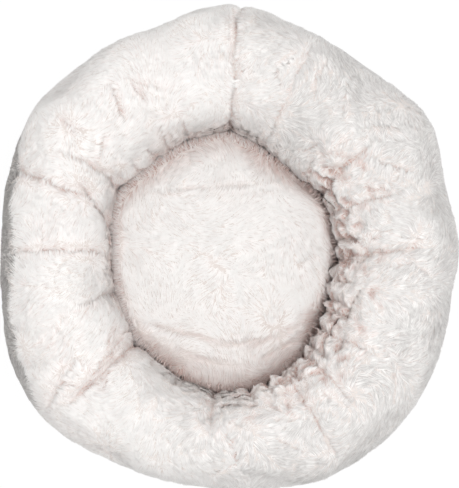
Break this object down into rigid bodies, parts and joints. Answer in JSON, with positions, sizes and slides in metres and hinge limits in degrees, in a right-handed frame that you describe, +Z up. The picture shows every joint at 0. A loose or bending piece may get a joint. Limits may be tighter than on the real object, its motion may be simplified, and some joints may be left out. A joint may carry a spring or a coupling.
{
  "type": "round pet bed",
  "caption": "Round plush bed for a cat or small dog: a stuffed fur bolster ring round a stuffed fur pad, in a washable cover that unzips under its rear edge.",
  "frame": {"origin": "middle of the bed's overall width and depth, on the floor it stands on", "axes": "+Z up, +Y to the rear of the bed, where the zip runs, +X to the right as seen from the front"},
  "size_m": [0.5799, 0.6165, 0.1795],
  "materials": {
    "plush": "long white faux fur, frosted, with pinkish beige roots",
    "base_cloth": "matt woven cloth with small rubber grip dots",
    "lining": "matt plain-woven lining",
    "fibre_fill": "loose polyester fibre",
    "zip_tape": "matt woven tape",
    "zip_coil": "moulded coil",
    "zip_metal": "satin nickel",
    "elastic": "covered elastic cord",
    "label": "satin ribbon, blank"
  },
  "bodies": {
    "bed": {"bolster_fur_rear_right": "plush", "bolster_fur_rear_left": "plush", "bolster_fur_front_left": "plush", "bolster_fur_front_right": "plush", "bolster_liner_upper": "lining", "bolster_liner_lower": "lining", "bolster_fill": "fibre_fill", "gather_elastic": "elastic", "pad_fur": "plush", "pad_liner_top": "lining", "pad_liner_bottom": "lining", "pad_fill": "fibre_fill", "base_fabric": "base_cloth", "care_label": "label", "zip_tape_inner": "zip_tape", "zip_tape_outer": "zip_tape", "zip_coil_inner": "zip_coil", "zip_coil_outer": "zip_coil", "zip_top_stop_inner": "zip_metal", "zip_top_stop_outer": "zip_metal", "zip_bottom_stop": "zip_metal"},
    "slider": {"zip_slider": "zip_metal"},
    "pull": {"zip_pull": "zip_metal"}
  },
  "joints": [
    {"name": "zip_travel", "type": "hinge", "parent": "bed", "child": "slider", "pos_m": [0, 0, 0], "axis": [0, 0, 1], "range_deg": [-200, 0]},
    {"name": "zip_pull_swing", "type": "hinge", "parent": "slider", "child": "pull", "pos_m": [-0.262, -0.04641, 0.00462], "axis": [-0.8625, -0.1528, 0.4825], "range_deg": [0, 170]}
  ]
}
